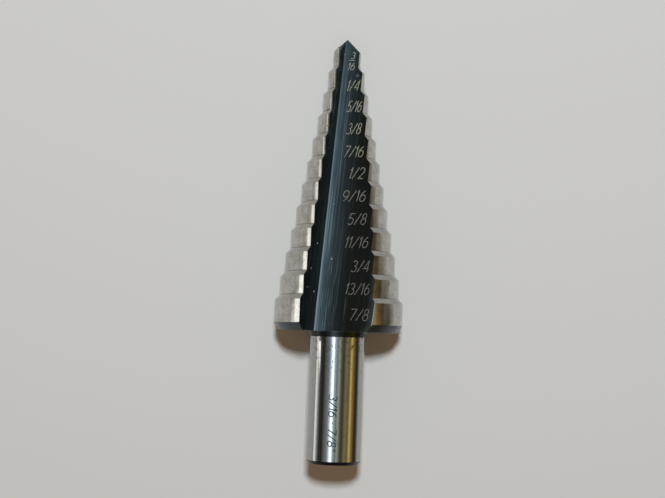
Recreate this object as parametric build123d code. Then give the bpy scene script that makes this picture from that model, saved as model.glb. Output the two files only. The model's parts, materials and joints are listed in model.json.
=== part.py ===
"""Step drill with twelve steps from 3/16 inch to 7/8 inch on a 3/8 inch round shank.

One piece of high speed steel with two straight flutes, cutting right-handed.
It is modelled upright in a tool frame, with the drill axis on Z, the point up
and the top corner of the smallest step at height 0. Then it is laid down as it
comes to rest: on the cutting corners of its lower flute and on the heel corner
of the largest step, with the point along +Y and the other flute facing up.
Lengths are in millimetres and angles in degrees.
"""
from build123d import *
from math import atan2, cos, degrees, radians, sin, sqrt, tan
import os

# Steps: ground lands, each wider than the one before, joined by short shoulders.
# The first is 3/16 inch across and each later one 1/16 inch more.
STEP_COUNT = 12
FIRST_DIAMETER = 4.7625
DIAMETER_INCREMENT = 1.5875
STEP_PITCH = 4.0
SHOULDER_LENGTH = 0.85
LAST_LAND_LENGTH = 3.95

# Relief: behind its cutting edge each step winds back towards the shank, by
# this much in a full turn.
RELIEF_PITCH = 1.3

# Point: one cone behind each lip, tilted so that it falls away behind the lip.
POINT_HALF_ANGLE = 52.0
POINT_RELIEF_ANGLE = 8.5

# Flutes: straight grooves with a flat cutting face on the drill axis and a
# hollow floor, which rise with the steps and run out through the back.
FLUTE_COUNT = 2
FLUTE_ROOT_RADIUS = 0.75
FLUTE_ROOT_SLOPE = 0.127
FLUTE_OPENING_ANGLE = 123.0
FLUTE_FLOOR_RADIUS = 15.3

# Back of the head, neck and shank, which is 3/8 inch across.
BACK_BEVEL_LENGTH = 1.3
BACK_BEVEL_DEPTH = 0.9
SHANK_DIAMETER = 9.525
NECK_LENGTH = 0.95
NECK_FLARE = 0.4
SHANK_LENGTH = 21.0
SHANK_CHAMFER_LENGTH = 0.6
SHANK_CHAMFER_DEPTH = 0.5

# Web: the cone under the steps that joins the lands. It runs parallel to the
# line of the step corners, one and a half steps below it, which keeps it under
# every land and above the floor of the flutes. The lands reach half way into it.
STEPS_OVER_WEB = 1.5
LAND_ROOT_SHARE = 0.5

# The lands are wound this far past both sides, and trimmed by the flutes.
LAND_LEAD_ANGLE = 7.0
LAND_TRAIL_ANGLE = 117.0
FLUTE_FLOOR_SWEEP_ANGLE = 75.0
OVERRUN = 1.0

FIRST_RADIUS = FIRST_DIAMETER / 2
RADIUS_INCREMENT = DIAMETER_INCREMENT / 2
LAST_RADIUS = FIRST_RADIUS + (STEP_COUNT - 1) * RADIUS_INCREMENT
SHANK_RADIUS = SHANK_DIAMETER / 2
LAST_CORNER_Z = -(STEP_COUNT - 1) * STEP_PITCH
HEAD_BOTTOM_Z = LAST_CORNER_Z - LAST_LAND_LENGTH
HEAD_BACK_Z = HEAD_BOTTOM_Z - BACK_BEVEL_LENGTH
NECK_BOTTOM_Z = HEAD_BACK_Z - NECK_LENGTH
SHANK_BOTTOM_Z = NECK_BOTTOM_Z - SHANK_LENGTH
DRILL_BOTTOM_Z = SHANK_BOTTOM_Z - SHANK_CHAMFER_LENGTH
POINT_Z = FIRST_RADIUS / tan(radians(POINT_HALF_ANGLE))
TOP_Z = POINT_Z + OVERRUN
BELOW_Z = HEAD_BACK_Z - OVERRUN
FLUTE_ANGLE = 360 / FLUTE_COUNT


def step_radius(step):
    """Radius of the land of a step, counted from 0 at the point."""
    return FIRST_RADIUS + step * RADIUS_INCREMENT


def web_radius(z):
    """Radius of the web at a height."""
    corner_radius = FIRST_RADIUS - z * RADIUS_INCREMENT / STEP_PITCH
    return corner_radius - STEPS_OVER_WEB * RADIUS_INCREMENT


def relief(angle):
    """Drop towards the shank at an angle behind the cutting face."""
    return RELIEF_PITCH * angle / 360


def turned(points):
    """Solid turned about the drill axis from (radius, height) points."""
    return revolve(Plane.XZ * make_face(Polyline(*points, close=True)), Axis.Z)


def web():
    """Cone that joins the lands, up to the tip of the point."""
    top = (web_radius(TOP_Z), TOP_Z)
    bottom = (web_radius(BELOW_Z), BELOW_Z)
    return turned([(0, TOP_Z), top, bottom, (0, BELOW_Z)])


def land():
    """Land behind the cutting face that looks along +Y from the +X side.

    Its stepped outline is wound about the drill axis, clockwise and down as
    seen from the point, which relieves every shoulder behind its edge.
    """
    outline = [(FIRST_RADIUS, TOP_Z)]
    for step in range(1, STEP_COUNT):
        corner_z = -step * STEP_PITCH
        outline.append((step_radius(step - 1), corner_z + SHOULDER_LENGTH))
        outline.append((step_radius(step), corner_z))
    outline.append((LAST_RADIUS, BELOW_Z))
    outline.append((LAND_ROOT_SHARE * web_radius(BELOW_Z), BELOW_Z))
    outline.append((LAND_ROOT_SHARE * web_radius(TOP_Z), TOP_Z))
    profile = Plane.XZ * make_face(Polyline(*outline, close=True))
    wound = LAND_LEAD_ANGLE + LAND_TRAIL_ANGLE
    path = Helix(RELIEF_PITCH, relief(wound), SHANK_RADIUS)
    blank = sweep(profile, path, is_frenet=True)
    return Pos(0, 0, -relief(LAND_TRAIL_ANGLE)) * Rot(0, 0, -LAND_TRAIL_ANGLE) * blank


def flute_root_radius(z):
    """Distance of the root of a flute from the drill axis at a height."""
    return FLUTE_ROOT_RADIUS - z * FLUTE_ROOT_SLOPE


def floor_centre(z):
    """Centre of the hollow of the flute floor at a height."""
    opening = radians(FLUTE_OPENING_ANGLE)
    offset = Vector(sin(opening), -cos(opening)) * FLUTE_FLOOR_RADIUS
    return Vector(flute_root_radius(z), 0) + offset


def floor_point(z, turn):
    """Point of the flute floor after it has curved by an angle from its root."""
    centre = floor_centre(z)
    spoke = Vector(flute_root_radius(z), 0) - centre
    return centre + spoke.rotate(Axis.Z, -turn)


def heel_angle(z):
    """Angle from a cutting face across its flute to the heel of the last step.

    The heel is where the circle of the land crosses the circle of the floor.
    """
    centre = floor_centre(z)
    distance = centre.length
    along = (distance**2 + LAST_RADIUS**2 - FLUTE_FLOOR_RADIUS**2) / (2 * distance)
    across = sqrt(LAST_RADIUS**2 - along**2)
    return degrees(atan2(centre.Y, centre.X) + atan2(across, along))


def flute():
    """Cutter for the flute in front of the cutting face on the +X side."""
    root = floor_point(TOP_Z, 0)
    middle = floor_point(TOP_Z, FLUTE_FLOOR_SWEEP_ANGLE / 2)
    end = floor_point(TOP_Z, FLUTE_FLOOR_SWEEP_ANGLE)
    reach = 3 * LAST_RADIUS
    floor = ThreePointArc(root, middle, end)
    rim = Polyline(end, (reach, end.Y), (reach, 0), root)
    section = Pos(0, 0, TOP_Z) * make_face([floor, *rim.edges()])
    rise = Vector(FLUTE_ROOT_SLOPE, 0, -1)
    return extrude(section, (TOP_Z - BELOW_Z) * rise.length, rise)


def point_waste():
    """Metal ground off above the cone behind the lip on the +X side."""
    reach = FIRST_RADIUS + OVERRUN
    floor_z = -SHOULDER_LENGTH
    height = TOP_Z + OVERRUN - floor_z
    block = Box(2 * reach, reach, height, align=(Align.CENTER, Align.MAX, Align.MIN))
    block = Pos(0, 0, floor_z) * block
    depth = POINT_Z + STEP_PITCH
    cone = turned([(0, 0), (depth * tan(radians(POINT_HALF_ANGLE)), -depth), (0, -depth)])
    return block - Pos(0, 0, POINT_Z) * Rot(POINT_RELIEF_ANGLE, 0, 0) * cone


def back_waste():
    """Ring turned off behind the head: the bevel and the flat back."""
    back_radius = LAST_RADIUS - BACK_BEVEL_DEPTH
    slope = BACK_BEVEL_LENGTH / BACK_BEVEL_DEPTH
    outer = LAST_RADIUS + OVERRUN
    outer_z = HEAD_BOTTOM_Z + OVERRUN * slope
    low_z = BELOW_Z - OVERRUN
    return turned([
        (0, HEAD_BACK_Z),
        (back_radius, HEAD_BACK_Z),
        (outer, outer_z),
        (outer, low_z),
        (0, low_z),
    ])


def shank():
    """Round shank with the flared neck under the head and a chamfered end."""
    return turned([
        (0, HEAD_BACK_Z),
        (SHANK_RADIUS + NECK_FLARE, HEAD_BACK_Z),
        (SHANK_RADIUS, NECK_BOTTOM_Z),
        (SHANK_RADIUS, SHANK_BOTTOM_Z),
        (SHANK_RADIUS - SHANK_CHAMFER_DEPTH, DRILL_BOTTOM_Z),
        (0, DRILL_BOTTOM_Z),
    ])


def drill():
    """The whole drill upright in the tool frame."""
    turns = [Rot(0, 0, side * FLUTE_ANGLE) for side in range(FLUTE_COUNT)]
    body = web()
    for turn in turns:
        body += turn * land()
    for turn in turns:
        body -= turn * point_waste()
    for turn in turns:
        body -= turn * flute()
    body -= back_waste()
    return body + shank()


def floor_plane():
    """Plane that the drill lies on, in the tool frame, with Y towards the point.

    It touches the cutting corners on the -X side, which all lie in one line,
    and the heel corner of the last step across that flute.
    """
    heel_z = LAST_CORNER_Z - relief(FLUTE_ANGLE - heel_angle(LAST_CORNER_Z))
    heel_corner = Vector(-LAST_RADIUS, 0, heel_z).rotate(Axis.Z, heel_angle(heel_z))
    first_corner = Vector(-FIRST_RADIUS, 0, 0)
    last_corner = Vector(-LAST_RADIUS, 0, LAST_CORNER_Z)
    up = (first_corner - last_corner).cross(heel_corner - last_corner).normalized()
    sideways = Vector(0, 0, 1).cross(up)
    return Plane(origin=last_corner, x_dir=sideways, z_dir=up)


def laid_down(body):
    """The drill at rest, with its box standing on the origin."""
    resting = floor_plane().location.inverse() * body
    box = resting.bounding_box()
    return Pos(-box.center().X, -box.center().Y, -box.min.Z) * resting


os.makedirs("parts", exist_ok=True)
step_drill = laid_down(drill())
export_step(step_drill, "parts/step_drill.step")
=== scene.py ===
"""Looks of the step drill: black oxide flutes, ground lands and a polished shank.

The drill's own dimensions are in millimetres in the tool frame, which has the
drill axis on Z, the point up, the top corner of the smallest step at height 0
and the cutting face of the first land along +X. Everything that belongs to the
room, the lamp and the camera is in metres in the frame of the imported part.
"""
import json
from math import acos, asin, atan2, ceil, cos, hypot, pi, radians, sin, sqrt, tan

import bpy
from mathutils import Matrix, Vector
from mathutils.geometry import delaunay_2d_cdt


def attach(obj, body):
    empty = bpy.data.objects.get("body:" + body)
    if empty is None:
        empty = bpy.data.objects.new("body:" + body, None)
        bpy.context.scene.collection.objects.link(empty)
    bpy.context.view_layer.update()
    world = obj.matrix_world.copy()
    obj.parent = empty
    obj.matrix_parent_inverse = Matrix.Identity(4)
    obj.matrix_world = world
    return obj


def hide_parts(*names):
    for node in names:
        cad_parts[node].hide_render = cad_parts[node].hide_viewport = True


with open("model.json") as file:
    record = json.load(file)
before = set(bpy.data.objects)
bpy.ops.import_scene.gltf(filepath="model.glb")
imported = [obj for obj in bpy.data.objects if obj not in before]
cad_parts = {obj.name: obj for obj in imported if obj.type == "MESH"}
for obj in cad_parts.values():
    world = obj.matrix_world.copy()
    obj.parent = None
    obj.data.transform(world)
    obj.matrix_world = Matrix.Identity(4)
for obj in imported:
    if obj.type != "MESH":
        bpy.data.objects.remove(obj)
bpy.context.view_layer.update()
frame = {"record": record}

MM = 0.001
NODE = "step_drill"

# Driving dimensions of the drill, in millimetres and degrees.
STEP_COUNT = 12
FIRST_DIAMETER = 4.7625
DIAMETER_INCREMENT = 1.5875
STEP_PITCH = 4.0
SHOULDER_LENGTH = 0.85
LAST_LAND_LENGTH = 3.95
RELIEF_PITCH = 1.3
POINT_HALF_ANGLE = 52.0
POINT_RELIEF_ANGLE = 8.5
FLUTE_ROOT_RADIUS = 0.75
FLUTE_ROOT_SLOPE = 0.127
FLUTE_OPENING_ANGLE = 123.0
FLUTE_FLOOR_RADIUS = 15.3
BACK_BEVEL_LENGTH = 1.3
BACK_BEVEL_DEPTH = 0.9
SHANK_DIAMETER = 9.525
NECK_LENGTH = 0.95
NECK_FLARE = 0.4
SHANK_LENGTH = 21.0
SHANK_CHAMFER_LENGTH = 0.6
SHANK_CHAMFER_DEPTH = 0.5

FIRST_RADIUS = FIRST_DIAMETER / 2
RADIUS_INCREMENT = DIAMETER_INCREMENT / 2
SHANK_RADIUS = SHANK_DIAMETER / 2
LAST_RADIUS = FIRST_RADIUS + (STEP_COUNT - 1) * RADIUS_INCREMENT
LAST_CORNER_Z = -(STEP_COUNT - 1) * STEP_PITCH
HEAD_BOTTOM_Z = LAST_CORNER_Z - LAST_LAND_LENGTH
HEAD_BACK_Z = HEAD_BOTTOM_Z - BACK_BEVEL_LENGTH
NECK_BOTTOM_Z = HEAD_BACK_Z - NECK_LENGTH
SHANK_BOTTOM_Z = NECK_BOTTOM_Z - SHANK_LENGTH
DRILL_BOTTOM_Z = SHANK_BOTTOM_Z - SHANK_CHAMFER_LENGTH
POINT_Z = FIRST_RADIUS / tan(radians(POINT_HALF_ANGLE))

# How finely the surfaces are sampled. An outline of the head has so many samples
# over each land, flute floor and cutting face, and there are two of each.
LAND_SAMPLES = 44
FLOOR_SAMPLES = 30
FACE_SAMPLES = 10
HALF_SAMPLES = LAND_SAMPLES + FLOOR_SAMPLES + FACE_SAMPLES
LAND_STATIONS = 4
POINT_GRID = 0.11
SHANK_SAMPLES = 192
SHANK_STATIONS = 24

# A height that depends on the place it gives settles within so many rounds. The
# angle of a land is first taken as this many degrees.
SETTLING_ROUNDS = 8
FIRST_LAND_ANGLE = 118.0

# Flat areas are filled with triangles inside their outline only, and points closer
# together than a distance count as one. No edge's squared length is taken as less
# than a tiny one, so that nothing is divided by 0.
INSIDE_ONLY = 1
WELD_DISTANCE = 1e-7
TINY_SQUARE = 1e-12

# Edges sharper than this angle stay sharp, and the keen ones are broken a little.
SHARP_ANGLE = 25.0
EDGE_BREAK = 0.05
EDGE_BREAK_SEGMENTS = 2

# Finishes of the drill, as numbers in the list of its materials.
GROUND, OXIDE, POLISHED, TURNED = range(4)


# ---------------------------------------------------------------- geometry

def step_radius(step):
    """Radius of the land of a step, counted from 0 at the point."""
    return FIRST_RADIUS + step * RADIUS_INCREMENT


def root_radius(z):
    """Distance of the root of a flute from the drill axis at a height."""
    return FLUTE_ROOT_RADIUS - z * FLUTE_ROOT_SLOPE


def floor_centre(z):
    """Centre of the hollow of the floor of the first flute at a height."""
    opening = radians(FLUTE_OPENING_ANGLE)
    x = root_radius(z) + FLUTE_FLOOR_RADIUS * sin(opening)
    return x, -FLUTE_FLOOR_RADIUS * cos(opening)


def floor_point(z, turn):
    """Point of the flute floor after it has curved by an angle from its root."""
    centre_x, centre_y = floor_centre(z)
    angle = radians(FLUTE_OPENING_ANGLE) + pi / 2 - turn
    x = centre_x + FLUTE_FLOOR_RADIUS * cos(angle)
    y = centre_y + FLUTE_FLOOR_RADIUS * sin(angle)
    return Vector((x, y, z))


def heel_angle(radius, z):
    """Angle from a cutting face across its flute to the heel of a land."""
    x, y = floor_centre(z)
    distance = hypot(x, y)
    along = (distance**2 + radius**2 - FLUTE_FLOOR_RADIUS**2) / (2 * distance)
    return atan2(y, x) + acos(along / radius)


def heel_turn(radius, z):
    """Angle by which the flute floor curves from its root to the heel."""
    angle = heel_angle(radius, z)
    chord = hypot(radius * cos(angle) - root_radius(z), radius * sin(angle))
    return 2 * asin(chord / 2 / FLUTE_FLOOR_RADIUS)


def cone_height(x, y):
    """Height of the point at (x, y), on the relieved cone of the nearer lip."""
    tilt = radians(POINT_RELIEF_ANGLE)
    slope = tan(radians(POINT_HALF_ANGLE)) ** 2
    side = -abs(y)
    a = sin(tilt) ** 2 - slope * cos(tilt) ** 2
    b = 2 * side * cos(tilt) * sin(tilt) * (1 + slope)
    c = x**2 + side**2 * (cos(tilt) ** 2 - slope * sin(tilt) ** 2)
    return POINT_Z + (sqrt(b * b - 4 * a * c) - b) / (2 * a)


def section(radius, height, relieved):
    """Half of the closed outline of the head at a station, from one cutting edge.

    It runs back over the land to its heel, down the floor of the next flute to
    the root and up the next cutting face, which the other half goes on from.
    A height of None stands for the cone of the point.
    """
    def level(x, y, drop=0.0):
        return cone_height(x, y) if height is None else height - drop

    def relief(angle):
        return RELIEF_PITCH * angle / (2 * pi) if relieved else 0.0

    wrap = radians(FIRST_LAND_ANGLE)
    for _ in range(SETTLING_ROUNDS):
        heel_x, heel_y = radius * cos(wrap), -radius * sin(wrap)
        heel_z = level(heel_x, heel_y, relief(wrap))
        wrap = pi - heel_angle(radius, heel_z)
    points = []
    for i in range(LAND_SAMPLES):
        angle = wrap * i / LAND_SAMPLES
        x, y = radius * cos(angle), -radius * sin(angle)
        points.append(Vector((x, y, level(x, y, relief(angle)))))
    turn = heel_turn(radius, heel_z)
    for i in range(FLOOR_SAMPLES):
        share = 1 - i / FLOOR_SAMPLES
        drop = 0.0 if height is None else (height - heel_z) * share
        z = heel_z
        for _ in range(SETTLING_ROUNDS):
            floor = floor_point(z, turn * share)
            z = level(-floor.x, -floor.y, drop)
        points.append(Vector((-floor.x, -floor.y, z)))
    z = POINT_Z if height is None else height
    for _ in range(SETTLING_ROUNDS):
        root = root_radius(z)
        z = level(-root, 0)
    for i in range(FACE_SAMPLES):
        x = root + (radius - root) * i / FACE_SAMPLES
        points.append(Vector((-x, 0, level(-x, 0))))
    return points


def outline(radius, height, relieved=True):
    """The whole closed outline of the head at a station."""
    half = section(radius, height, relieved)
    return half + [Vector((-p.x, -p.y, p.z)) for p in half]


def head_rows():
    """Rows of points round the head, from the cone of the point to the flat back.

    Each comes with the finish of the strip above it on the lands, and with
    whether it is a keen edge.
    """
    rows = []
    for step in range(STEP_COUNT):
        radius = step_radius(step)
        top = -step * STEP_PITCH
        last = step == STEP_COUNT - 1
        low = HEAD_BOTTOM_Z if last else top - STEP_PITCH + SHOULDER_LENGTH
        upper = outline(radius, top if step else None)
        lower = outline(radius, low, relieved=not last)
        rows.append((upper, GROUND, step > 0))
        for i in range(1, LAND_STATIONS + 1):
            row = [a.lerp(b, i / LAND_STATIONS) for a, b in zip(upper, lower)]
            rows.append((row, GROUND, last and i == LAND_STATIONS))
    back_radius = LAST_RADIUS - BACK_BEVEL_DEPTH
    rows.append((outline(back_radius, HEAD_BACK_Z, relieved=False), TURNED, False))
    return rows


def ring(count, start=0):
    """Edges that join so many points, numbered from a start, into a closed row."""
    return [(start + i, start + (i + 1) % count) for i in range(count)]


def triangles(flat, edges):
    """Triangles that fill an outline, each as the numbers of its three points."""
    faces, sources = delaunay_2d_cdt(flat, edges, [], INSIDE_ONLY, WELD_DISTANCE)[2:4]
    return [[sources[corner][0] for corner in face] for face in faces]


def is_inside(p, polygon, margin):
    """Whether a point lies inside a closed outline, and off it by a margin."""
    inside = False
    for a, b in zip(polygon, polygon[1:] + polygon[:1]):
        edge = b - a
        if (a.y > p.y) != (b.y > p.y) and p.x < edge.x * (p.y - a.y) / edge.y + a.x:
            inside = not inside
        share = max(0.0, min(1.0, (p - a).dot(edge) / max(edge.length_squared, TINY_SQUARE)))
        if (p - a - edge * share).length < margin:
            return False
    return inside


class Shell:
    """Points and faces of a surface in the tool frame, gathered row by row."""

    def __init__(self):
        self.points = []
        self.faces = []
        self.finishes = []
        self.keen_edges = []

    def add_row(self, row):
        """Adds a row of points and returns their numbers."""
        start = len(self.points)
        self.points.extend(row)
        return list(range(start, start + len(row)))

    def add_face(self, corners, finish=0):
        """Adds a face between numbered points, with the number of its finish."""
        self.faces.append(corners)
        self.finishes.append(finish)

    def join_rows(self, upper, lower, finish_of):
        """Joins two closed rows of points, the upper one nearer to the point."""
        for i, j in ring(len(upper)):
            self.add_face((upper[j], upper[i], lower[i], lower[j]), finish_of(i))

    def fill(self, boundary, height_of, finish):
        """Covers the point inside a row of points, with its ridge along y = 0."""
        rim = [self.points[i].xy for i in boundary]
        steps = ceil(FIRST_RADIUS / POINT_GRID)
        rungs = [i * POINT_GRID for i in range(-steps, steps + 1)]
        middle = [Vector((x, 0)) for x in rungs]
        ridge = [p for p in middle if is_inside(p, rim, POINT_GRID / 2)]
        sides = [Vector((x, y)) for x in rungs for y in rungs if y]
        inner = ridge + [p for p in sides if is_inside(p, rim, POINT_GRID / 2)]
        numbers = list(boundary)
        numbers += self.add_row([Vector((p.x, p.y, height_of(p.x, p.y))) for p in inner])
        edges = ring(len(rim))
        edges += [(len(rim) + i, len(rim) + i + 1) for i in range(len(ridge) - 1)]
        for corners in triangles(rim + inner, edges):
            self.add_face([numbers[i] for i in corners], finish)


def head_finish(land_finish):
    """Finish of each strip of the head, by the sample of the outline it starts at."""
    return lambda index: land_finish if index % HALF_SAMPLES < LAND_SAMPLES else OXIDE


def circle(radius, z):
    """Row of points round the shank, in the direction of the head's outlines."""
    turns = [2 * pi * i / SHANK_SAMPLES for i in range(SHANK_SAMPLES)]
    return [Vector((radius * cos(-t), radius * sin(-t), z)) for t in turns]


def add_head(shell):
    """Adds the head, from the point down, and returns the rim of its flat back."""
    rows = head_rows()
    upper = shell.add_row(rows[0][0])
    shell.fill(upper, cone_height, TURNED)
    last_land = len(rows) - 1 - LAND_STATIONS
    for number, (row, finish, keen) in enumerate(rows[1:], start=1):
        lower = shell.add_row(row)
        shell.join_rows(upper, lower, head_finish(finish))
        if finish == GROUND:
            cutting_edges = (0, HALF_SAMPLES)
            shell.keen_edges += [(upper[i], lower[i]) for i in cutting_edges]
        # Only the last land has its heels broken as well.
        if last_land <= number < len(rows) - 1:
            heels = (LAND_SAMPLES, HALF_SAMPLES + LAND_SAMPLES)
            shell.keen_edges += [(upper[i], lower[i]) for i in heels]
        if keen:
            for start in (0, HALF_SAMPLES):
                corners = range(start, start + LAND_SAMPLES)
                shell.keen_edges += [(lower[i], lower[i + 1]) for i in corners]
        upper = lower
    return upper


def add_back(shell, rim, neck):
    """Adds the flat back of the head, between its notched rim and the neck."""
    numbers = rim + neck
    flat = [shell.points[i].xy for i in numbers]
    edges = ring(len(rim)) + ring(len(neck), len(rim))
    for corners in triangles(flat, edges):
        if min(corners) < len(rim):
            shell.add_face([numbers[i] for i in reversed(corners)], TURNED)


def add_shank(shell, upper):
    """Adds the neck below a row of points, the shank and its chamfered end."""
    lower = shell.add_row(circle(SHANK_RADIUS, NECK_BOTTOM_Z))
    shell.join_rows(upper, lower, lambda i: TURNED)
    for station in range(1, SHANK_STATIONS + 1):
        upper = lower
        z = NECK_BOTTOM_Z - SHANK_LENGTH * station / SHANK_STATIONS
        lower = shell.add_row(circle(SHANK_RADIUS, z))
        shell.join_rows(upper, lower, lambda i: POLISHED)
    upper = lower
    lower = shell.add_row(circle(SHANK_RADIUS - SHANK_CHAMFER_DEPTH, DRILL_BOTTOM_Z))
    shell.join_rows(upper, lower, lambda i: TURNED)
    centre = shell.add_row([Vector((0, 0, DRILL_BOTTOM_Z))])[0]
    for i, j in ring(SHANK_SAMPLES):
        shell.add_face((lower[j], lower[i], centre), TURNED)


def drill_shell():
    """The whole surface of the drill in the tool frame."""
    shell = Shell()
    rim = add_head(shell)
    neck = shell.add_row(circle(SHANK_RADIUS + NECK_FLARE, HEAD_BACK_Z))
    add_back(shell, rim, neck)
    add_shank(shell, neck)
    return shell


def tool_frame():
    """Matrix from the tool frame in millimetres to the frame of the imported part.

    The drill lies on the cutting corners of its lower flute and on the heel
    corner of the last step, which gives the direction that is up.
    """
    wrap = pi - heel_angle(LAST_RADIUS, LAST_CORNER_Z)
    heel_z = LAST_CORNER_Z - RELIEF_PITCH * wrap / (2 * pi)
    angle = heel_angle(LAST_RADIUS, heel_z)
    heel = Vector((-LAST_RADIUS * cos(angle), -LAST_RADIUS * sin(angle), heel_z))
    first = Vector((-FIRST_RADIUS, 0, 0))
    last = Vector((-LAST_RADIUS, 0, LAST_CORNER_Z))
    up = (first - last).cross(heel - last).normalized()
    sideways = Vector((0, 0, 1)).cross(up).normalized()
    turn = Matrix((sideways, up.cross(sideways), up)).to_4x4()
    mount = frame["record"]["mounts"][0]
    shank_middle = Vector((0, 0, (NECK_BOTTOM_Z + SHANK_BOTTOM_Z) / 2)) * MM
    shift = Vector(mount["pos_m"]) - turn @ shank_middle
    return Matrix.Translation(shift) @ turn @ Matrix.Scale(MM, 4)


TOOL = tool_frame()
PLACE = "tool_place"


def new_piece(name, points, faces, finishes, materials):
    """Mesh of points in the tool frame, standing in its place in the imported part.

    Each vertex keeps its place in the tool frame, in millimetres, which the
    materials follow.
    """
    mesh = bpy.data.meshes.new(name)
    mesh.from_pydata([TOOL @ p for p in points], [], faces)
    for material in materials:
        mesh.materials.append(material)
    mesh.polygons.foreach_set("material_index", finishes)
    mesh.polygons.foreach_set("use_smooth", [True] * len(faces))
    place = mesh.attributes.new(PLACE, "FLOAT_VECTOR", "POINT")
    place.data.foreach_set("vector", [number for p in points for number in p])
    mesh.update()
    mesh.set_sharp_from_angle(angle=radians(SHARP_ANGLE))
    piece = bpy.data.objects.new(name, mesh)
    bpy.context.scene.collection.objects.link(piece)
    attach(piece, "root")
    return piece


def break_edges(piece, keen_edges):
    """Rounds the keen edges of the lands as a light touch of a stone does."""
    mesh = piece.data
    keen = {tuple(sorted(edge)) for edge in keen_edges}
    weights = mesh.attributes.new("bevel_weight_edge", "FLOAT", "EDGE")
    for edge in mesh.edges:
        if tuple(sorted(edge.vertices)) in keen:
            weights.data[edge.index].value = 1.0
    bevel = piece.modifiers.new("broken_edges", "BEVEL")
    bevel.limit_method = "WEIGHT"
    bevel.width = EDGE_BREAK * MM
    bevel.segments = EDGE_BREAK_SEGMENTS
    bevel.material = GROUND
    bevel.harden_normals = True
    bevel.use_clamp_overlap = False


# --------------------------------------------------------------- materials

# Sockets of a Mix node for its two colours and for its result.
FIRST_COLOUR, SECOND_COLOUR, MIXED_COLOUR = 6, 7, 2

# The core of a spot, which is full, as a share of its size.
SPOT_CORE = 0.5

# A cutting face counts as part of the flute it looks into. It lies at y = 0, so
# this much of x decides the side there.
SIDE_BIAS = 0.01


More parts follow.
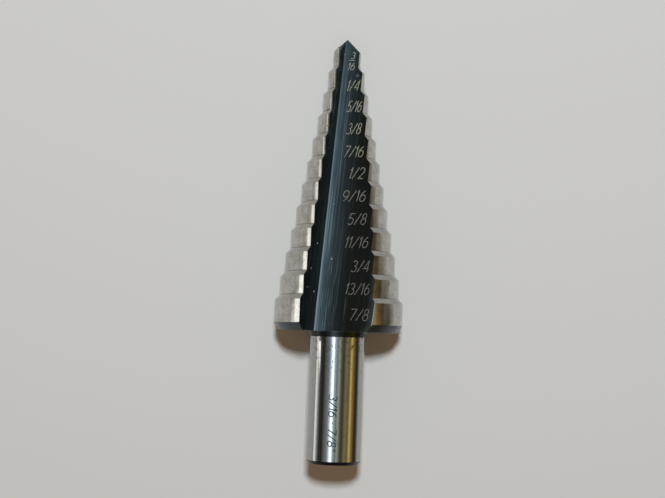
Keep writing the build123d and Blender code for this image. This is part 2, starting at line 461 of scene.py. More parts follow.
class Finish:
    """Procedural material, painted by each point's place in the tool frame."""

    def __init__(self, name, metallic=1.0):
        self.material = bpy.data.materials.new(name)
        self.material.use_nodes = True
        self.nodes = self.material.node_tree.nodes
        self.links = self.material.node_tree.links
        self.shader = self.nodes["Principled BSDF"]
        self.shader.inputs["Metallic"].default_value = metallic
        attribute = self.nodes.new("ShaderNodeAttribute")
        attribute.attribute_name = PLACE
        self.place = attribute.outputs["Vector"]
        split = self.nodes.new("ShaderNodeSeparateXYZ")
        self.links.new(self.place, split.inputs["Vector"])
        self.x, self.y, self.z = split.outputs

    def put(self, socket, value):
        """Sets a socket to a value, or joins it to the output of another node."""
        if isinstance(value, bpy.types.NodeSocket):
            self.links.new(value, socket)
        elif socket.type == "RGBA":
            socket.default_value = (*value, 1)
        else:
            socket.default_value = value

    def set(self, name, value):
        """Sets an input of the shader."""
        self.put(self.shader.inputs[name], value)

    def calculate(self, operation, first, second=0.0):
        """Result of an operation of the Math node on one or two numbers."""
        node = self.nodes.new("ShaderNodeMath")
        node.operation = operation
        self.put(node.inputs[0], first)
        self.put(node.inputs[1], second)
        return node.outputs["Value"]

    def times(self, first, second):
        """Product of two numbers."""
        return self.calculate("MULTIPLY", first, second)

    def vector(self, x, y, z):
        """Vector of three numbers, each a value or the output of another node."""
        node = self.nodes.new("ShaderNodeCombineXYZ")
        for socket, value in zip(node.inputs, (x, y, z)):
            self.put(socket, value)
        return node.outputs["Vector"]

    def wound_height(self):
        """Height on a land, measured along its relief from the cutting edge."""
        behind = self.times(self.calculate("SIGN", self.y), self.x)
        behind = self.times(behind, -1.0)
        angle = self.calculate("ARCTAN2", self.calculate("ABSOLUTE", self.y), behind)
        drop = self.times(angle, RELIEF_PITCH / (2 * pi))
        return self.calculate("ADD", self.z, drop)

    def off_root(self):
        """Distances from the root of the flute, out along the face and over the floor."""
        side = self.calculate("ADD", self.times(self.x, SIDE_BIAS), self.y)
        out = self.times(self.x, self.calculate("SIGN", side))
        out = self.calculate("ADD", out, self.times(self.z, FLUTE_ROOT_SLOPE))
        out = self.calculate("SUBTRACT", out, FLUTE_ROOT_RADIUS)
        return out, self.calculate("ABSOLUTE", self.y)

    def off_axis(self):
        """Distance from the drill axis."""
        squares = self.calculate("ADD", self.times(self.x, self.x), self.times(self.y, self.y))
        return self.calculate("SQRT", squares)

    def scaled(self, place, density, shift=0.0):
        """A place at so many units per millimetre along each axis, and shifted."""
        mapping = self.nodes.new("ShaderNodeMapping")
        self.put(mapping.inputs["Vector"], place)
        self.put(mapping.inputs["Scale"], density)
        self.put(mapping.inputs["Location"], (shift, shift, shift))
        return mapping.outputs["Vector"]

    def noise(self, density, detail=2.0, shift=0.0, place=None):
        """Noise from 0 to 1 with so many features per millimetre along each axis."""
        node = self.nodes.new("ShaderNodeTexNoise")
        self.put(node.inputs["Vector"], self.scaled(place or self.place, density, shift))
        node.inputs["Scale"].default_value = 1.0
        node.inputs["Detail"].default_value = detail
        return node.outputs["Fac"]

    def spots(self, density, size):
        """1 in small round spots strewn with a density per millimetre, 0 elsewhere."""
        node = self.nodes.new("ShaderNodeTexVoronoi")
        self.put(node.inputs["Vector"], self.scaled(self.place, (density,) * 3))
        node.inputs["Scale"].default_value = 1.0
        reach = size * density
        return self.fade(node.outputs["Distance"], reach, reach * SPOT_CORE)

    def near(self, place, size):
        """1 close to a place in the tool frame, 0 beyond a small distance from it."""
        node = self.nodes.new("ShaderNodeVectorMath")
        node.operation = "DISTANCE"
        self.put(node.inputs[0], self.place)
        self.put(node.inputs[1], place)
        return self.fade(node.outputs["Value"], size, size * SPOT_CORE)

    def fade(self, value, low, high, low_value=0.0, high_value=1.0):
        """Value that goes smoothly from one level to another between two bounds."""
        node = self.nodes.new("ShaderNodeMapRange")
        node.interpolation_type = "SMOOTHSTEP"
        self.put(node.inputs["Value"], value)
        node.inputs["From Min"].default_value = low
        node.inputs["From Max"].default_value = high
        node.inputs["To Min"].default_value = low_value
        node.inputs["To Max"].default_value = high_value
        return node.outputs["Result"]

    def mix(self, factor, first, second):
        """Colour between two colours, the first one at 0 and the second at 1."""
        node = self.nodes.new("ShaderNodeMix")
        node.data_type = "RGBA"
        self.put(node.inputs["Factor"], factor)
        self.put(node.inputs[FIRST_COLOUR], first)
        self.put(node.inputs[SECOND_COLOUR], second)
        return node.outputs[MIXED_COLOUR]

    def bump(self, height, depth):
        """Relief of a given depth in millimetres."""
        node = self.nodes.new("ShaderNodeBump")
        node.inputs["Distance"].default_value = depth * MM
        self.put(node.inputs["Height"], height)
        self.links.new(node.outputs["Normal"], self.shader.inputs["Normal"])


# Tones of the bare steel on the lands and shoulders, with painted shade on the shoulders
# and in the corners above them.
STEEL_DULL = (0.42, 0.41, 0.375)
STEEL_BRIGHT = (0.56, 0.555, 0.53)
STEEL_LINES = (0.33, 0.31, 0.275)
STEEL_SHADE = (0.20, 0.19, 0.165)
STEEL_CORNER_SHADE = (0.16, 0.14, 0.11)
STEEL_PITS = (0.16, 0.135, 0.10)

# A dark nick close to the cutting edge, at the foot of the third land, as its
# place and size.
DARK_NICK = ((3.85, -0.95, -11.2), 0.3)
DARK_NICK_TONE = (0.03, 0.025, 0.03)


def shoulder_tone(finish, tone, height):
    """Painted shade on the shoulders, halved on the +X side, and a painted shade line in the
    corners where they meet the lands.
    """
    shoulder_start = STEP_PITCH - SHOULDER_LENGTH
    down = finish.calculate("FLOORED_MODULO", finish.times(height, -1.0), STEP_PITCH)
    above_last = finish.fade(height, LAST_CORNER_Z - 1.0, LAST_CORNER_Z - 0.5)
    shade = finish.fade(down, shoulder_start, shoulder_start + 0.1, 0.0, 0.65)
    # One side is shaded less: the painted shade is halved on the +X side.
    shade = finish.times(shade, finish.fade(finish.x, -1.0, 1.0, 1.0, 0.5))
    tone = finish.mix(finish.times(shade, above_last), tone, STEEL_SHADE)
    # A painted shade line in the corner where each land meets the shoulder below it.
    off_corner = finish.calculate("SUBTRACT", down, shoulder_start)
    off_corner = finish.calculate("ABSOLUTE", off_corner)
    corner_shade = finish.fade(off_corner, 0.04, 0.16, 0.6, 0.0)
    return finish.mix(finish.times(corner_shade, above_last), tone, STEEL_CORNER_SHADE)


def ground_steel():
    """Bare steel of the lands and shoulders, ground round the drill."""
    finish = Finish("ground_steel")
    height = finish.wound_height()
    wound = finish.vector(finish.x, finish.y, height)
    lines = finish.noise((0.2, 0.2, 7.0), detail=4.0, place=wound)
    cloud = finish.noise((0.7, 0.7, 0.7), detail=4.0, shift=40.0)
    tone = finish.mix(finish.fade(cloud, 0.3, 0.7), STEEL_DULL, STEEL_BRIGHT)
    tone = finish.mix(finish.fade(lines, 0.5, 0.75, 0.0, 0.4), tone, STEEL_LINES)
    tone = shoulder_tone(finish, tone, height)
    tone = finish.mix(finish.spots(1.5, 0.13), tone, STEEL_PITS)
    tone = finish.mix(finish.near(*DARK_NICK), tone, DARK_NICK_TONE)
    finish.set("Base Color", tone)
    finish.set("Roughness", finish.fade(cloud, 0.3, 0.7, 0.09, 0.14))
    dents = finish.noise((1.6, 1.6, 1.6), detail=3.0, shift=20.0)
    finish.bump(finish.calculate("ADD", dents, lines), 0.003)
    return finish.material


# Tones of the oxide in the flutes, with a painted reflection near the root and painted shade
# near the heel, and of what is worn into it, with a painted highlight along the root and a
# painted glint along the last heel.
OXIDE_REFLECTION_AT_ROOT = (0.085, 0.125, 0.148)
OXIDE_ON_FLOOR = (0.046, 0.054, 0.052)
OXIDE_SHADE_AT_HEEL = (0.03, 0.036, 0.036)
OXIDE_PATCHES = (0.045, 0.055, 0.06)
PALE_LINES = (0.20, 0.25, 0.27)
DARK_LINES = (0.04, 0.062, 0.075)
SCORES = (0.40, 0.47, 0.50)
ROOT_HIGHLIGHT = (0.26, 0.32, 0.36)
WORN_HEEL_GLINT = (0.5, 0.5, 0.49)
SPECKS = (0.6, 0.6, 0.57)

# Nicks that bare the steel of the upper flute, each as its place and size.
NICKS = (
    ((6.8, 0.0, -34.5), 0.16),
    ((8.35, 0.0, -38.8), 0.13),
    ((7.3, 0.0, -42.7), 0.18),
    ((9.2, 0.0, -42.0), 0.1),
    ((4.6, 1.5, -37.0), 0.14),
)
NICK_TONE = (0.6, 0.6, 0.58)
OXIDE_METALLIC = 0.9
NICK_METALLIC = 0.2

# A pale spot above the mark of the second step, as its place and size.
PALE_SPOT = ((0.1, 2.4, -4.75), 0.4)
PALE_SPOT_TONE = (0.30, 0.27, 0.31)

# Highest point of the scores, which get stronger towards the back of the head.
SCORES_TOP_Z = -26.0


def oxide_tone(finish, away):
    """Oxide with a painted reflection near the root of the flute that fades away from it,
    painted shade towards the heel, and faint patches.
    """
    cloud = finish.noise((0.35, 0.35, 0.2), detail=3.0, shift=15.0)
    # Painted reflection near the root, fading out over the floor, and painted shade near the
    # heel.
    tone = finish.mix(finish.fade(away, 0.3, 4.7), OXIDE_REFLECTION_AT_ROOT, OXIDE_ON_FLOOR)
    tone = finish.mix(finish.fade(away, 7.0, 9.5), tone, OXIDE_SHADE_AT_HEEL)
    return finish.mix(finish.fade(cloud, 0.35, 0.7, 0.0, 0.4), tone, OXIDE_PATCHES)


def oxide_lines(finish, tone, lines, along, away):
    """Pale and dark grinding lines beside the root, strongest within the painted reflection
    there, and bright scores near the back.
    """
    pale = finish.times(finish.fade(lines, 0.55, 0.68), finish.fade(away, 1.0, 5.5, 0.8, 0.1))
    tone = finish.mix(pale, tone, PALE_LINES)
    dark = finish.times(finish.fade(lines, 0.46, 0.36), finish.fade(away, 1.0, 6.0, 0.6, 0.0))
    tone = finish.mix(dark, tone, DARK_LINES)
    scores = finish.noise((9.0, 9.0, 0.12), detail=2.0, shift=40.0, place=along)
    scores = finish.times(finish.fade(scores, 0.6, 0.68), finish.fade(away, 4.0, 6.0, 1.0, 0.0))
    low_end = finish.fade(finish.z, LAST_CORNER_Z, SCORES_TOP_Z, 0.9, 0.0)
    return finish.mix(finish.times(scores, low_end), tone, SCORES)


def oxide_wear_and_highlights(finish, tone, over):
    """A painted highlight along the root of the flute, stronger towards the back, a pale worn
    line with a painted glint along the last heel, and strewn specks.
    """
    on_floor = finish.fade(over, 0.01, 0.05)
    # Painted highlight in a thin line beside the root, stronger towards the back of the head.
    worn = finish.times(finish.fade(over, 0.16, 0.34, 1.0, 0.0), on_floor)
    worn = finish.times(worn, finish.fade(finish.z, LAST_CORNER_Z, 0.0, 0.85, 0.1))
    tone = finish.mix(worn, tone, ROOT_HIGHLIGHT)
    # Pale worn line along the heel of the last land, painted bright as a glint.
    heel = finish.fade(finish.off_axis(), LAST_RADIUS - 0.25, LAST_RADIUS - 0.12, 0.0, 0.8)
    tone = finish.mix(finish.times(heel, on_floor), tone, WORN_HEEL_GLINT)
    return finish.mix(finish.spots(0.6, 0.09), tone, SPECKS)


def black_oxide():
    """Blue-black oxide of the flutes, over grinding lines along their root."""
    finish = Finish("black_oxide")
    out, over = finish.off_root()
    away = finish.calculate("ADD", finish.calculate("MAXIMUM", out, 0.0), over)
    along = finish.vector(out, over, finish.z)
    lines = finish.noise((4.5, 4.5, 0.05), detail=3.0, place=along)
    tone = oxide_tone(finish, away)
    tone = oxide_lines(finish, tone, lines, along, away)
    tone = oxide_wear_and_highlights(finish, tone, over)
    bared = 0.0
    for place, size in NICKS:
        bared = finish.calculate("MAXIMUM", bared, finish.near(place, size))
    tone = finish.mix(bared, tone, NICK_TONE)
    tone = finish.mix(finish.near(*PALE_SPOT), tone, PALE_SPOT_TONE)
    finish.set("Base Color", tone)
    finish.set("Metallic", finish.fade(bared, 0.0, 1.0, OXIDE_METALLIC, NICK_METALLIC))
    finish.set("Roughness", finish.fade(lines, 0.3, 0.7, 0.14, 0.22))
    finish.bump(lines, 0.005)
    return finish.material


# Tones of the turned oxide: clouded from dark to pale, with painted shade on the neck under
# the back of the head, and darker on the end of the shank.
TURNED_DARK = (0.065, 0.078, 0.088)
TURNED_PALE = (0.092, 0.108, 0.12)
NECK_SHADE = (0.03, 0.034, 0.034)
SHANK_END_TONE = (0.025, 0.028, 0.042)


def turned_oxide():
    """Black oxide of the point, the back bevel, the neck and the shank end."""
    finish = Finish("turned_oxide")
    lines = finish.noise((0.4, 0.4, 6.0), detail=3.0)
    cloud = finish.noise((0.6, 0.6, 0.6), detail=3.0, shift=15.0)
    tone = finish.mix(cloud, TURNED_DARK, TURNED_PALE)
    # Painted shade on the neck, under the back of the head.
    neck = finish.fade(finish.z, HEAD_BACK_Z - 0.1, HEAD_BACK_Z - 0.02, 1.0, 0.0)
    tone = finish.mix(neck, tone, NECK_SHADE)
    shank_end = finish.fade(finish.z, SHANK_BOTTOM_Z - 0.1, SHANK_BOTTOM_Z + 0.1, 1.0, 0.0)
    tone = finish.mix(shank_end, tone, SHANK_END_TONE)
    finish.set("Base Color", tone)
    finish.set("Roughness", finish.fade(lines, 0.3, 0.7, 0.24, 0.36))
    finish.bump(lines, 0.006)
    return finish.material


# Tones of the shank, and where its scuffs start to fade and have nearly gone.
SHANK_TONE = (0.445, 0.445, 0.435)
SCUFF_TONE = (0.17, 0.17, 0.165)
SCUFFED_TO_Z = -50.5
SCUFFS_FAINT_Z = -58.0


def polished_steel():
    """Bright shank, finely ground round and scuffed by chucks near the head."""
    finish = Finish("polished_steel")
    lines = finish.noise((0.3, 0.3, 12.0), detail=3.0)
    scuffs = finish.noise((3.0, 3.0, 1.4), detail=5.0, shift=70.0)
    near_head = finish.fade(finish.z, SCUFFS_FAINT_Z, SCUFFED_TO_Z, 0.25, 1.0)
    worn = finish.times(finish.fade(scuffs, 0.53, 0.66), near_head)
    finish.set("Base Color", finish.mix(worn, SHANK_TONE, SCUFF_TONE))
    finish.set("Roughness", finish.fade(worn, 0.0, 1.0, 0.05, 0.3))
    finish.bump(lines, 0.0012)
    return finish.material


# Tones of the scratched marks, each worn and bare: faint marks near the back of
# the head and fresh ones near the point. The etched mark goes from dark to pale.
FAINT_WORN = (0.05, 0.052, 0.045)
FAINT_BARE = (0.21, 0.215, 0.19)
FRESH_WORN = (0.09, 0.09, 0.06)
FRESH_BARE = (0.37, 0.36, 0.28)
FAINT_MARKS_Z = -34.0
FRESH_MARKS_Z = -14.0
ETCHED_DARK = (0.006, 0.007, 0.02)
ETCHED_PALE = (0.03, 0.034, 0.07)
MARK_SPECULAR = 0.1


def scratched_mark():
    """Pale metal bared by the size numbers in the flute, fresher near the point."""
    finish = Finish("scratched_mark", metallic=0.0)
    wear = finish.noise((3.0, 3.0, 3.0), detail=2.0)
    fresh = finish.fade(finish.z, FAINT_MARKS_Z, FRESH_MARKS_Z)
    worn = finish.mix(fresh, FAINT_WORN, FRESH_WORN)
    bare = finish.mix(fresh, FAINT_BARE, FRESH_BARE)
    finish.set("Base Color", finish.mix(wear, worn, bare))
    finish.set("Roughness", 0.6)
    finish.set("Specular IOR Level", MARK_SPECULAR)
    return finish.material


def etched_mark():
    """Dark etched line of the size range on the shank."""
    finish = Finish("etched_mark", metallic=0.0)
    wear = finish.noise((4.0, 4.0, 4.0), detail=2.0)
    finish.set("Base Color", finish.mix(wear, ETCHED_DARK, ETCHED_PALE))
    finish.set("Roughness", 0.5)
    finish.set("Specular IOR Level", MARK_SPECULAR)
    return finish.material


# ------------------------------------------------------------ engraved marks

# Longest part of a round stroke drawn as one straight line, in degrees.
ARC_PIECE_ANGLE = 22.0


def arc(centre_x, centre_y, radius_x, radius_y, start, end):
    """Points along part of an ellipse, in degrees."""
    count = ceil(abs(end - start) / ARC_PIECE_ANGLE)
    angles = [radians(start + (end - start) * i / count) for i in range(count + 1)]
    return [(centre_x + radius_x * cos(a), centre_y + radius_y * sin(a)) for a in angles]


# Strokes of each sign in a box one wide and one high.
SIGNS = {
    "/": [[(0, -0.02), (1, 1.02)]],
    "-": [[(0.1, 0.5), (0.9, 0.5)]],
    " ": [],
    '"': [[(0.2, 1.0), (0.2, 0.72)], [(0.8, 1.0), (0.8, 0.72)]],
    "1": [[(0, 0.76), (0.7, 1), (0.7, 0)]],
    "2": [arc(0.5, 0.72, 0.46, 0.28, 170, -35) + [(0.04, 0), (1, 0)]],
    "3": [arc(0.45, 0.75, 0.42, 0.25, 150, -90), arc(0.45, 0.25, 0.5, 0.25, 90, -150)],
    "4": [[(0.78, 0), (0.78, 1), (0, 0.3), (1, 0.3)]],
    "5": [[(0.95, 1), (0.2, 1), (0.1, 0.56)] + arc(0.45, 0.31, 0.5, 0.31, 125, -145)],
    "6": [arc(0.5, 0.3, 0.48, 0.3, 0, 360), arc(1.05, 0.3, 1.03, 0.7, 180, 110)],
    "7": [[(0.02, 1), (1, 1), (0.35, 0)]],
    "8": [arc(0.5, 0.76, 0.38, 0.24, 0, 360), arc(0.5, 0.26, 0.48, 0.26, 0, 360)],
    "9": [arc(0.5, 0.7, 0.48, 0.3, 0, 360), arc(-0.05, 0.7, 1.03, 0.7, 0, -70)],
}

# Widths of the signs and of the gap between them, all to one scale, which fits a
# text to its width. The signs lean by a share of their height, and strokes are
# divided into pieces of at most a length in millimetres.
SIGN_WIDTHS = {"1": 0.32, "/": 0.72, "-": 0.3, '"': 0.4, " ": 0.25}
DIGIT_WIDTH = 0.86
SIGN_GAP = 0.27
SIGN_SLANT = 0.2
STROKE_PIECE = 0.25


def written(text, height, width):
    """Strokes of a text from (0, 0), as high and as wide as given, in millimetres."""
    sign_widths = [SIGN_WIDTHS.get(sign, DIGIT_WIDTH) for sign in text]
    scale = (width - height * SIGN_SLANT) / (sum(sign_widths) + SIGN_GAP * (len(text) - 1))
    strokes = []
    x = 0.0
    for sign, sign_width in zip(text, sign_widths):
        for stroke in SIGNS[sign]:
            strokes.append([
                ((x + u * sign_width) * scale + v * height * SIGN_SLANT, v * height)
                for u, v in stroke
            ])
        x += sign_width + SIGN_GAP
    return strokes


def divided(path):
    """The same path in short pieces, which can follow a curved surface."""
    points = path[:1]
    for start, end in zip(path, path[1:]):
        count = ceil((end - start).length / STROKE_PIECE)
        points += [start.lerp(end, i / count) for i in range(1, count + 1)]
    return points


# Least cosine taken at a corner of a stroke, so that a sharp one doesn't reach far.
MITRE_LIMIT = 0.4


class Marks:
    """Thin raised lines laid on a surface, each a closed solid."""

    def __init__(self, width, proud, sunk):
        self.half = width / 2
        self.levels = (proud, -sunk)
        self.shell = Shell()

    def draw(self, stroke, surface):
        """Adds a stroke; surface gives the point over (x, y) at a level."""
        path = divided([Vector(p) for p in stroke])
        rows = []
        for i, point in enumerate(path):
            before = point - path[max(i - 1, 0)]
            after = path[min(i + 1, len(path) - 1)] - point
            before = before.normalized() if before.length else after.normalized()
            after = after.normalized() if after.length else before
            across = (before + after).normalized().orthogonal()
            stretch = self.half / max(across.dot(after.orthogonal()), MITRE_LIMIT)
            left, right = point + across * stretch, point - across * stretch
            upper, lower = self.levels
            corners = [surface(*left, upper), surface(*right, upper)]
            corners += [surface(*right, lower), surface(*left, lower)]
            rows.append(self.shell.add_row(corners))
        for first, second in zip(rows, rows[1:]):
            for i, j in ring(len(corners)):
                self.shell.add_face((first[i], first[j], second[j], second[i]))
        self.shell.add_face(rows[0][::-1])
        self.shell.add_face(rows[-1])


# Size marks: text, width, distance from the heel, and depth of the middle of the
# text below the corner of its step.
SIZE_MARKS = (
    ("1/4", 2.40, 0.15, 2.55),
    ("5/16", 2.80, 0.15, 2.30),
    ("3/8", 2.75, 0.60, 2.25),
    ("7/16", 3.80, 0.45, 2.30),
    ("1/2", 2.95, 0.65, 2.10),
    ("9/16", 4.50, 0.65, 2.10),
    ("5/8", 3.65, 0.75, 2.10),
    ("11/16", 4.55, 0.60, 2.10),
    ("3/4", 3.60, 0.60, 2.20),
    ("13/16", 4.85, 0.65, 2.05),
    ("7/8", 3.95, 0.95, 2.40),
)
MARK_HEIGHT = 1.88
MARK_STROKE = 0.14
MARK_PROUD = 0.012
MARK_SUNK = 0.05

# The mark of the first step stands upright, one number over the other with a bar
# between them: text, height, width, distance of its middle from the root and
# height of its foot.
FIRST_MARKS = (
    ("3", 1.15, 0.80, 1.62, -1.70),
    ("16", 1.25, 1.35, 1.50, -3.70),
)
FIRST_BAR_HALF = 0.5
FIRST_BAR_MIDDLE = 1.45
FIRST_BAR_Z = -2.0


def on_floor(foot, start):
    """Surface of the upper flute floor, for a text that stands on a height.

    The text starts at a distance from the root, measured along the floor.
    """
    def surface(x, y, level):
        z = foot + y
        turn = (start + x) / FLUTE_FLOOR_RADIUS
        point = floor_point(z, turn)
        centre_x, centre_y = floor_centre(z)
        inward = Vector((centre_x - point.x, centre_y - point.y, 0)).normalized()
        return point + inward * level
    return surface


def size_marks():
    """The size of each step, on the flute floor beside its heel."""
    marks = Marks(MARK_STROKE, MARK_PROUD, MARK_SUNK)
    for step, (text, width, margin, depth) in enumerate(SIZE_MARKS, start=1):
        middle = -step * STEP_PITCH - depth
        end = heel_turn(step_radius(step), middle) * FLUTE_FLOOR_RADIUS
        surface = on_floor(middle - MARK_HEIGHT / 2, end - margin - width)
        for stroke in written(text, MARK_HEIGHT, width):
            marks.draw(stroke, surface)
    for text, height, width, middle, foot in FIRST_MARKS:
        surface = on_floor(foot, middle - width / 2)
        for stroke in written(text, height, width):
            marks.draw(stroke, surface)
    bar = [(-FIRST_BAR_HALF, 0), (FIRST_BAR_HALF, 0)]
    marks.draw(bar, on_floor(FIRST_BAR_Z, FIRST_BAR_MIDDLE))
    return marks.shell


# The range of sizes runs along the shank from a height in the tool frame. The foot
# of its signs lies at an angle round the shank from the cutting face.
RANGE_TEXT = '3/16 - 7/8"'
RANGE_HEIGHT = 1.4
RANGE_LENGTH = 9.6
RANGE_STROKE = 0.16
RANGE_PROUD = 0.008
RANGE_SUNK = 0.04
RANGE_START_Z = -59.9
RANGE_BASE_ANGLE = 22.5


def range_mark():
    """The range of sizes, etched along the shank."""
    marks = Marks(RANGE_STROKE, RANGE_PROUD, RANGE_SUNK)

    def surface(x, y, level):
        angle = radians(RANGE_BASE_ANGLE) + y / SHANK_RADIUS
        radius = SHANK_RADIUS + level
        return Vector((radius * cos(angle), radius * sin(angle), RANGE_START_Z - x))

    for stroke in written(RANGE_TEXT, RANGE_HEIGHT, RANGE_LENGTH):
        marks.draw(stroke, surface)
    return marks.shell


# ------------------------------------------------------------------ pieces

shell = drill_shell()
drill = new_piece(
    "drill_surface",
    shell.points,
    shell.faces,
    shell.finishes,
    [ground_steel(), black_oxide(), polished_steel(), turned_oxide()],
)
break_edges(drill, shell.keen_edges)
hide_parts(NODE)

marks = size_marks()
new_piece("size_marks", marks.points, marks.faces, marks.finishes, [scratched_mark()])
marks = range_mark()
new_piece("range_mark", marks.points, marks.faces, marks.finishes, [etched_mark()])


# ------------------------------------------------------- floor, light, camera

FLOOR_HALF_SIZE = 4.0
FLOOR_COLOUR = (0.60, 0.59, 0.57)
FLOOR_ROUGHNESS = 0.9
WORLD_COLOUR = (0.24, 0.165, 0.10)


def add_floor():
    """Plain pale floor under the drill."""
    mesh = bpy.data.meshes.new("floor")
    half = FLOOR_HALF_SIZE
    corners = [(-half, -half, 0), (half, -half, 0), (half, half, 0), (-half, half, 0)]
    mesh.from_pydata(corners, [], [(0, 1, 2, 3)])
    finish = Finish("floor_cloth", metallic=0.0)
    finish.set("Base Color", FLOOR_COLOUR)
    finish.set("Roughness", FLOOR_ROUGHNESS)
    finish.set("Specular IOR Level", 0.0)
    mesh.materials.append(finish.material)
    floor = bpy.data.objects.new("floor", mesh)
    bpy.context.scene.collection.objects.link(floor)


def add_world():
    """Dim warm light of the room, from all round."""
    world = bpy.data.worlds.new("studio")
    world.use_nodes = True
    background = world.node_tree.nodes["Background"]
    background.inputs["Color"].default_value = (*WORLD_COLOUR, 1)
    bpy.context.scene.world = world


# Reflections. The metal mirrors an arch over the drill, which lights nothing.
# Its glow is given at angles from straight up, positive to the right, for what
# the shank mirrors and for what the steps and flutes mirror beyond it. Angles
# past the horizon lie just over the floor, where a ray that is mirrored at some
# height on the drill meets it.
ARCH_RADIUS = 0.6
MIRROR_HEIGHT = 0.016
HORIZON = 90
OVER_FLOOR = 0.00001

# Places along the drill, towards the tip: both ends of the arch, and where its glow
# beyond the tip has faded to a share. The seam between what the shank mirrors and
# what the steps mirror lies further towards the tip where the arch is high.
ARCH_FRONT = -0.6
TIP_PLACE = 0.45
ARCH_BACK = 1.2
TIP_SHARE = 0.5
SEAM_RISE = 0.1
SEAM_FOOT = -0.008
SEAM_HALF = 0.008

OVER_SHANK = (
    (-90, (1.3, 1.3, 1.25)),
    (-82, (1.35, 1.35, 1.3)),
    (-76, (0.6, 0.6, 0.6)),
    (-70, (0.2, 0.2, 0.2)),
    (-63, (0.05, 0.05, 0.05)),
    (-50, (0.04, 0.04, 0.03)),
    (-41, (0.2, 0.19, 0.17)),
    (-29, (0.3, 0.35, 0.4)),
    (-23, (0.65, 0.8, 0.95)),
    (-17, (2.0, 2.1, 2.3)),
    (-11, (2.8, 2.95, 3.1)),
    (-5, (0.7, 0.85, 0.95)),
    (4, (0.25, 0.32, 0.38)),
    (13, (0.55, 0.58, 0.46)),
    (22, (0.16, 0.16, 0.11)),
    (31, (0.07, 0.07, 0.05)),
    (43, (0.36, 0.28, 0.13)),
    (56, (0.25, 0.18, 0.07)),
    (65, (0.95, 0.72, 0.28)),
    (72, (0.45, 0.28, 0.08)),
    (86, (0.09, 0.05, 0.02)),
    (100, (0.05, 0.05, 0.04)),
    (112, (0.45, 0.43, 0.38)),
)
OVER_STEPS = (
    (-90, (0.57, 0.56, 0.52)),
    (-84, (0.57, 0.56, 0.52)),
    (-79, (0.28, 0.27, 0.24)),
    (-73, (0.12, 0.1, 0.08)),
    (-45, (0.13, 0.11, 0.09)),
    (-25, (0.25, 0.26, 0.25)),
    (-11, (0.55, 0.65, 0.7)),
    (-6, (0.9, 1.05, 1.1)),
    (0, (1.9, 2.0, 2.1)),
    (6, (0.5, 0.5, 0.5)),
    (15, (0.16, 0.16, 0.15)),
    (60, (0.22, 0.19, 0.13)),
    (65, (0.42, 0.32, 0.2)),
    (73, (0.13, 0.08, 0.03)),
    (86, (0.09, 0.07, 0.05)),
    (102, (0.32, 0.29, 0.24)),
    (112, (0.45, 0.43, 0.38)),
)

# A bright card low on the left, which the lands mirror beside their cutting
# edges: place along the drill, two angles and glow, from the shank to the tip.
EDGE_CARD = (
    (-0.005, -82, -70, (2.2, 2.2, 2.15)),
    (0.06, -81, -70, (1.7, 1.7, 1.65)),
    (0.1, -81, -72, (1.5, 1.5, 1.45)),
    (0.14, -83, -78, (1.2, 1.2, 1.15)),
    (0.2, -86, -82, (0.9, 0.9, 0.85)),
)
CARD_SPACING = 0.01
GLOW = "glow"


def card_material():
    """Plain glow in the colour kept at each corner of the cards."""
    material = bpy.data.materials.new("reflector_card")
    material.use_nodes = True
    nodes, links = material.node_tree.nodes, material.node_tree.links
    nodes.clear()
    colour = nodes.new("ShaderNodeAttribute")
    colour.attribute_name = GLOW
    glow = nodes.new("ShaderNodeEmission")
    output = nodes.new("ShaderNodeOutputMaterial")
    links.new(colour.outputs["Color"], glow.inputs["Color"])
    links.new(glow.outputs["Emission"], output.inputs["Surface"])
    return material


def glow_at(glows, angle):
    """Glow at an angle, between the two nearest of those given."""
    if angle <= glows[0][0]:
        return Vector(glows[0][1])
    for (start, first), (end, second) in zip(glows, glows[1:]):
        if angle <= end:
            return Vector(first).lerp(Vector(second), (angle - start) / (end - start))
    return Vector(glows[-1][1])


def arch_point(angle, y, radius):
    """Point of the arch, or just over the floor for angles past the horizon."""
    if angle > HORIZON:
        return MIRROR_HEIGHT / tan(radians(angle - HORIZON)), y, OVER_FLOOR
    return radius * sin(radians(angle)), y, radius * cos(radians(angle))


def glowing_piece(name, rows):
    """Piece of the stage, seen by glossy rays alone, from rows of (point, glow)."""
    width = len(rows[0])
    points = [point for row in rows for point, glow in row]
    glows = [number for row in rows for point, glow in row for number in (*glow, 1.0)]
    faces = []
    for start in range(0, width * (len(rows) - 1), width):
        for i in range(start, start + width - 1):
            faces.append((i, i + 1, i + 1 + width, i + width))
    mesh = bpy.data.meshes.new(name)
    mesh.from_pydata(points, [], faces)
    mesh.attributes.new(GLOW, "FLOAT_COLOR", "POINT").data.foreach_set("color", glows)
    mesh.materials.append(card_material())
    piece = bpy.data.objects.new(name, mesh)
    bpy.context.scene.collection.objects.link(piece)
    piece.visible_camera = False
    piece.visible_diffuse = False
    piece.visible_shadow = False
    piece.visible_transmission = False
    piece.visible_volume_scatter = False


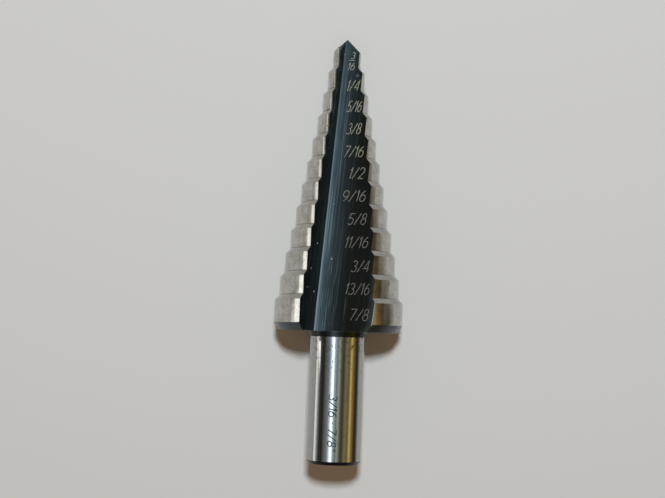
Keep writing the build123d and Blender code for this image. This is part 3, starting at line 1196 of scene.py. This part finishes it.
def add_reflections():
    """The arch over the drill, and the bright card inside it."""
    angles = sorted({angle for angle, glow in OVER_SHANK + OVER_STEPS})
    rows = []
    for angle in angles:
        shank_glow = glow_at(OVER_SHANK, angle)
        steps_glow = glow_at(OVER_STEPS, angle)
        tip_glow = steps_glow * TIP_SHARE
        seam = SEAM_FOOT + SEAM_RISE * max(cos(radians(angle)), 0.0)
        places = (
            (ARCH_FRONT, shank_glow),
            (seam - SEAM_HALF, shank_glow),
            (seam + SEAM_HALF, steps_glow),
            (TIP_PLACE, tip_glow),
            (ARCH_BACK, tip_glow),
        )
        rows.append([(arch_point(angle, y, ARCH_RADIUS), glow) for y, glow in places])
    glowing_piece("arch", rows)
    inside = ARCH_RADIUS - CARD_SPACING
    rows = []
    for y, start, end, glow in EDGE_CARD:
        rows.append([(arch_point(angle, y, inside), glow) for angle in (start, end)])
    glowing_piece("edge_card", rows)


# The key lamp stands high beyond the point and looks at the origin.
LAMP_LOCATION = Vector((0.01, 0.216, 0.55))
LAMP_SIZE = 0.05
LAMP_RADIANCE = 405
LAMP_COLOUR = (0.84, 0.933, 1.0)


def add_key_lamp():
    """Small soft lamp that casts the shadows, and that the metal doesn't mirror."""
    lamp = bpy.data.lights.new("key_lamp", "AREA")
    lamp.shape = "SQUARE"
    lamp.size = LAMP_SIZE
    lamp.energy = LAMP_RADIANCE * LAMP_SIZE**2 * pi
    lamp.color = LAMP_COLOUR
    holder = bpy.data.objects.new("key_lamp", lamp)
    holder.location = LAMP_LOCATION
    holder.rotation_euler = (-LAMP_LOCATION).to_track_quat("-Z", "Y").to_euler()
    holder.visible_glossy = False
    bpy.context.scene.collection.objects.link(holder)


# The camera, with its focal length and the width of its sensor in millimetres.
AIM_POINT = Vector((-0.001386, 0.00035, 0.008))
CAMERA_LOCATION = Vector((0.002758, 0.021285, 0.232028))
CAMERA_UP = Vector((-0.03415, 0.99514, -0.09236))
FOCAL_LENGTH = 70.364
SENSOR_WIDTH = 36.0
CLIP_START = 0.01


def add_camera():
    """The camera that takes the picture, looking down on the drill."""
    camera_data = bpy.data.cameras.new("camera")
    camera_data.lens = FOCAL_LENGTH
    camera_data.sensor_width = SENSOR_WIDTH
    camera_data.clip_start = CLIP_START
    camera = bpy.data.objects.new("camera", camera_data)
    bpy.context.scene.collection.objects.link(camera)
    back = (CAMERA_LOCATION - AIM_POINT).normalized()
    right = CAMERA_UP.cross(back).normalized()
    turn = Matrix((right, back.cross(right), back)).transposed().to_4x4()
    camera.matrix_world = Matrix.Translation(CAMERA_LOCATION) @ turn
    bpy.context.scene.camera = camera


add_floor()
add_world()
add_reflections()
add_key_lamp()
add_camera()
bpy.context.scene.view_settings.view_transform = "Standard"
